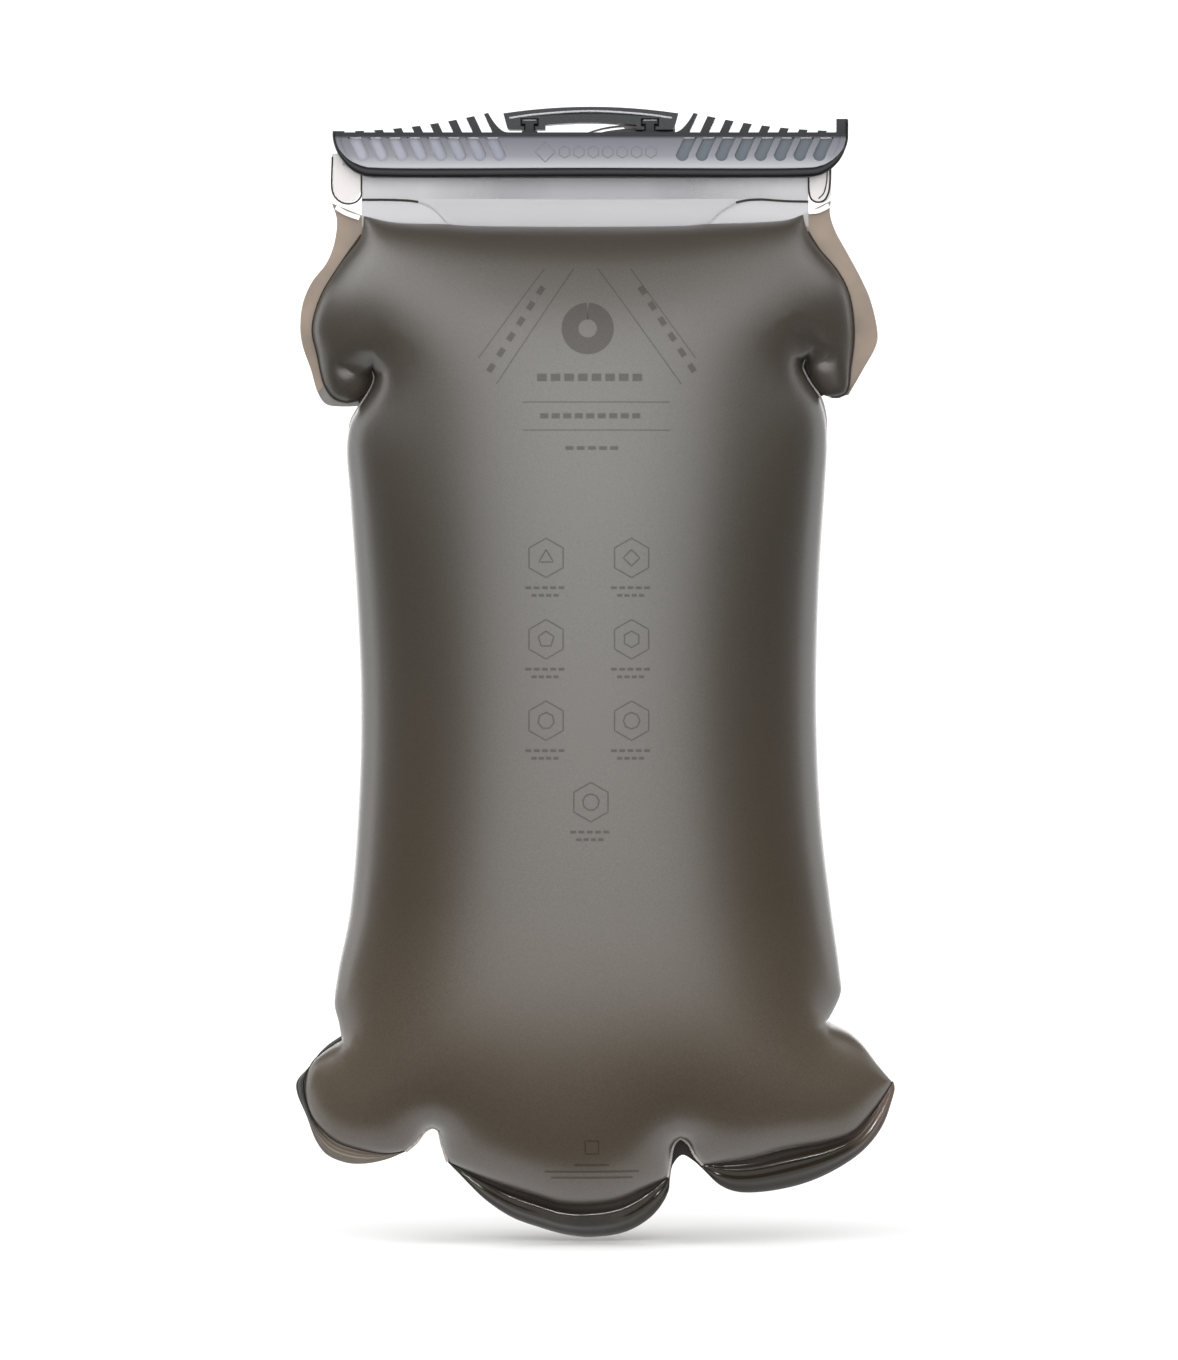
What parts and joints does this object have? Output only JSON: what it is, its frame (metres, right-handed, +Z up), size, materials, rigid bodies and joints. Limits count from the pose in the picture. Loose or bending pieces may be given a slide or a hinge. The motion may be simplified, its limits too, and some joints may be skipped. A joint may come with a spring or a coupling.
{
  "type": "hydration bladder",
  "caption": "Full film water bladder with a folded mouth, a slide clip with a carry handle, and a valved quick-release port on the back.",
  "frame": {"origin": "under the middle of the handle's arch, in the centre plane of the clip, where a hook carries the bladder", "axes": "+Z up along the bladder, +X along the clip towards its closed end, +Y out of the back where the port is"},
  "size_m": [0.1916, 0.1108, 0.3618],
  "materials": {
    "smoke_film": "fine matte, slightly see-through",
    "clear_film": "clear, glossy",
    "tinted_film": "clear smoke tint",
    "clip_plastic": "satin",
    "handle_rubber": "satin",
    "port_plastic": "satin",
    "button_plastic": "satin",
    "seal_rubber": "matte",
    "spring_steel": "bright"
  },
  "bodies": {
    "bag": {"front_panel": "smoke_film", "back_panel": "smoke_film", "neck_front_film": "clear_film", "neck_back_film": "clear_film", "front_rail": "clear_film", "back_rail": "clear_film", "end_tab_left": "clear_film", "end_tab_right": "clear_film", "port_housing": "port_plastic", "port_end_cap": "port_plastic", "port_weld_ring": "smoke_film", "socket_seal": "seal_rubber", "valve_spring": "spring_steel", "latch_spring": "spring_steel"},
    "clip": {"slide_clip": "clip_plastic", "hang_strap": "tinted_film"},
    "handle": {"handle": "handle_rubber"},
    "release_button": {"release_button": "button_plastic"},
    "valve": {"valve_poppet": "button_plastic", "valve_seal": "seal_rubber"}
  },
  "joints": [
    {"name": "clip_slide", "type": "slide", "parent": "bag", "child": "clip", "axis": [1, 0, 0], "range_m": [0, 0.17]},
    {"name": "handle_lift", "type": "slide", "parent": "clip", "child": "handle", "axis": [0, 0, 1], "range_m": [0, 0.0009]},
    {"name": "release_button_press", "type": "slide", "parent": "bag", "child": "release_button", "axis": [0, -1, 0], "range_m": [0, 0.0012], "stiffness_N_per_m": 400, "springref_m": -0.003, "deforming": ["latch_spring"]},
    {"name": "valve_open", "type": "slide", "parent": "bag", "child": "valve", "axis": [0, 0, -1], "range_m": [0, 0.003], "stiffness_N_per_m": 300, "springref_m": -0.003, "deforming": ["valve_spring"]}
  ]
}
